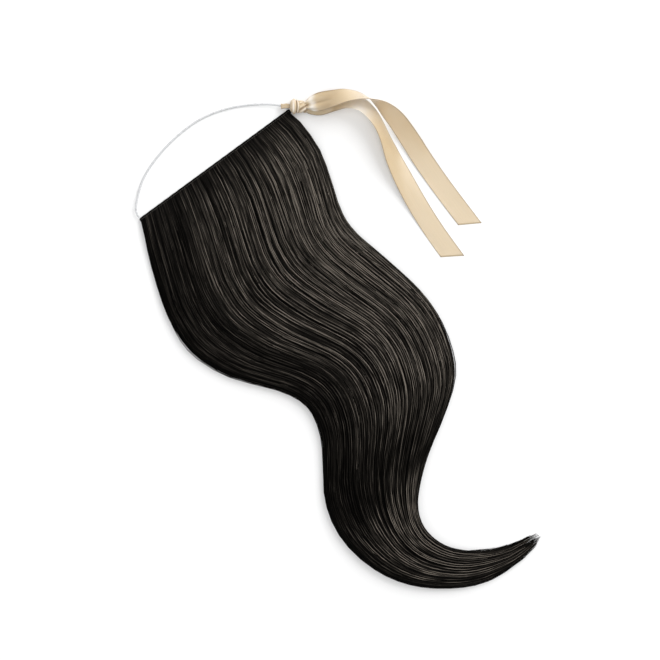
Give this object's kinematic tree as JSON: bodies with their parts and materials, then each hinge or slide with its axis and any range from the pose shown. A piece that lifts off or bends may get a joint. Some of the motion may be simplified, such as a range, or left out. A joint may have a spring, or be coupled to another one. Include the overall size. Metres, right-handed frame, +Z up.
{
  "type": "flip-in hair extension",
  "caption": "Long wavy dark hair on a sewn weft band, with a clear halo wire that goes over the head and a satin ribbon knotted at one end of the band.",
  "frame": {"origin": "middle of the weft band's underside, on the table it lies on", "axes": "+X along the band towards the ribbon, +Y away from the hair through the wire's loop, +Z up from the table"},
  "size_m": [0.3139, 0.5458, 0.0277],
  "materials": {
    "band": "matt",
    "hair": "sheen along the strands",
    "wire": "clear nylon",
    "ribbon": "satin"
  },
  "bodies": {
    "root": {"weft_band": "band", "hair_fall": "hair", "halo_wire": "wire", "ribbon_fold": "ribbon", "ribbon_knot": "ribbon", "ribbon_tail_upper": "ribbon", "ribbon_tail_lower": "ribbon"}
  },
  "joints": []
}
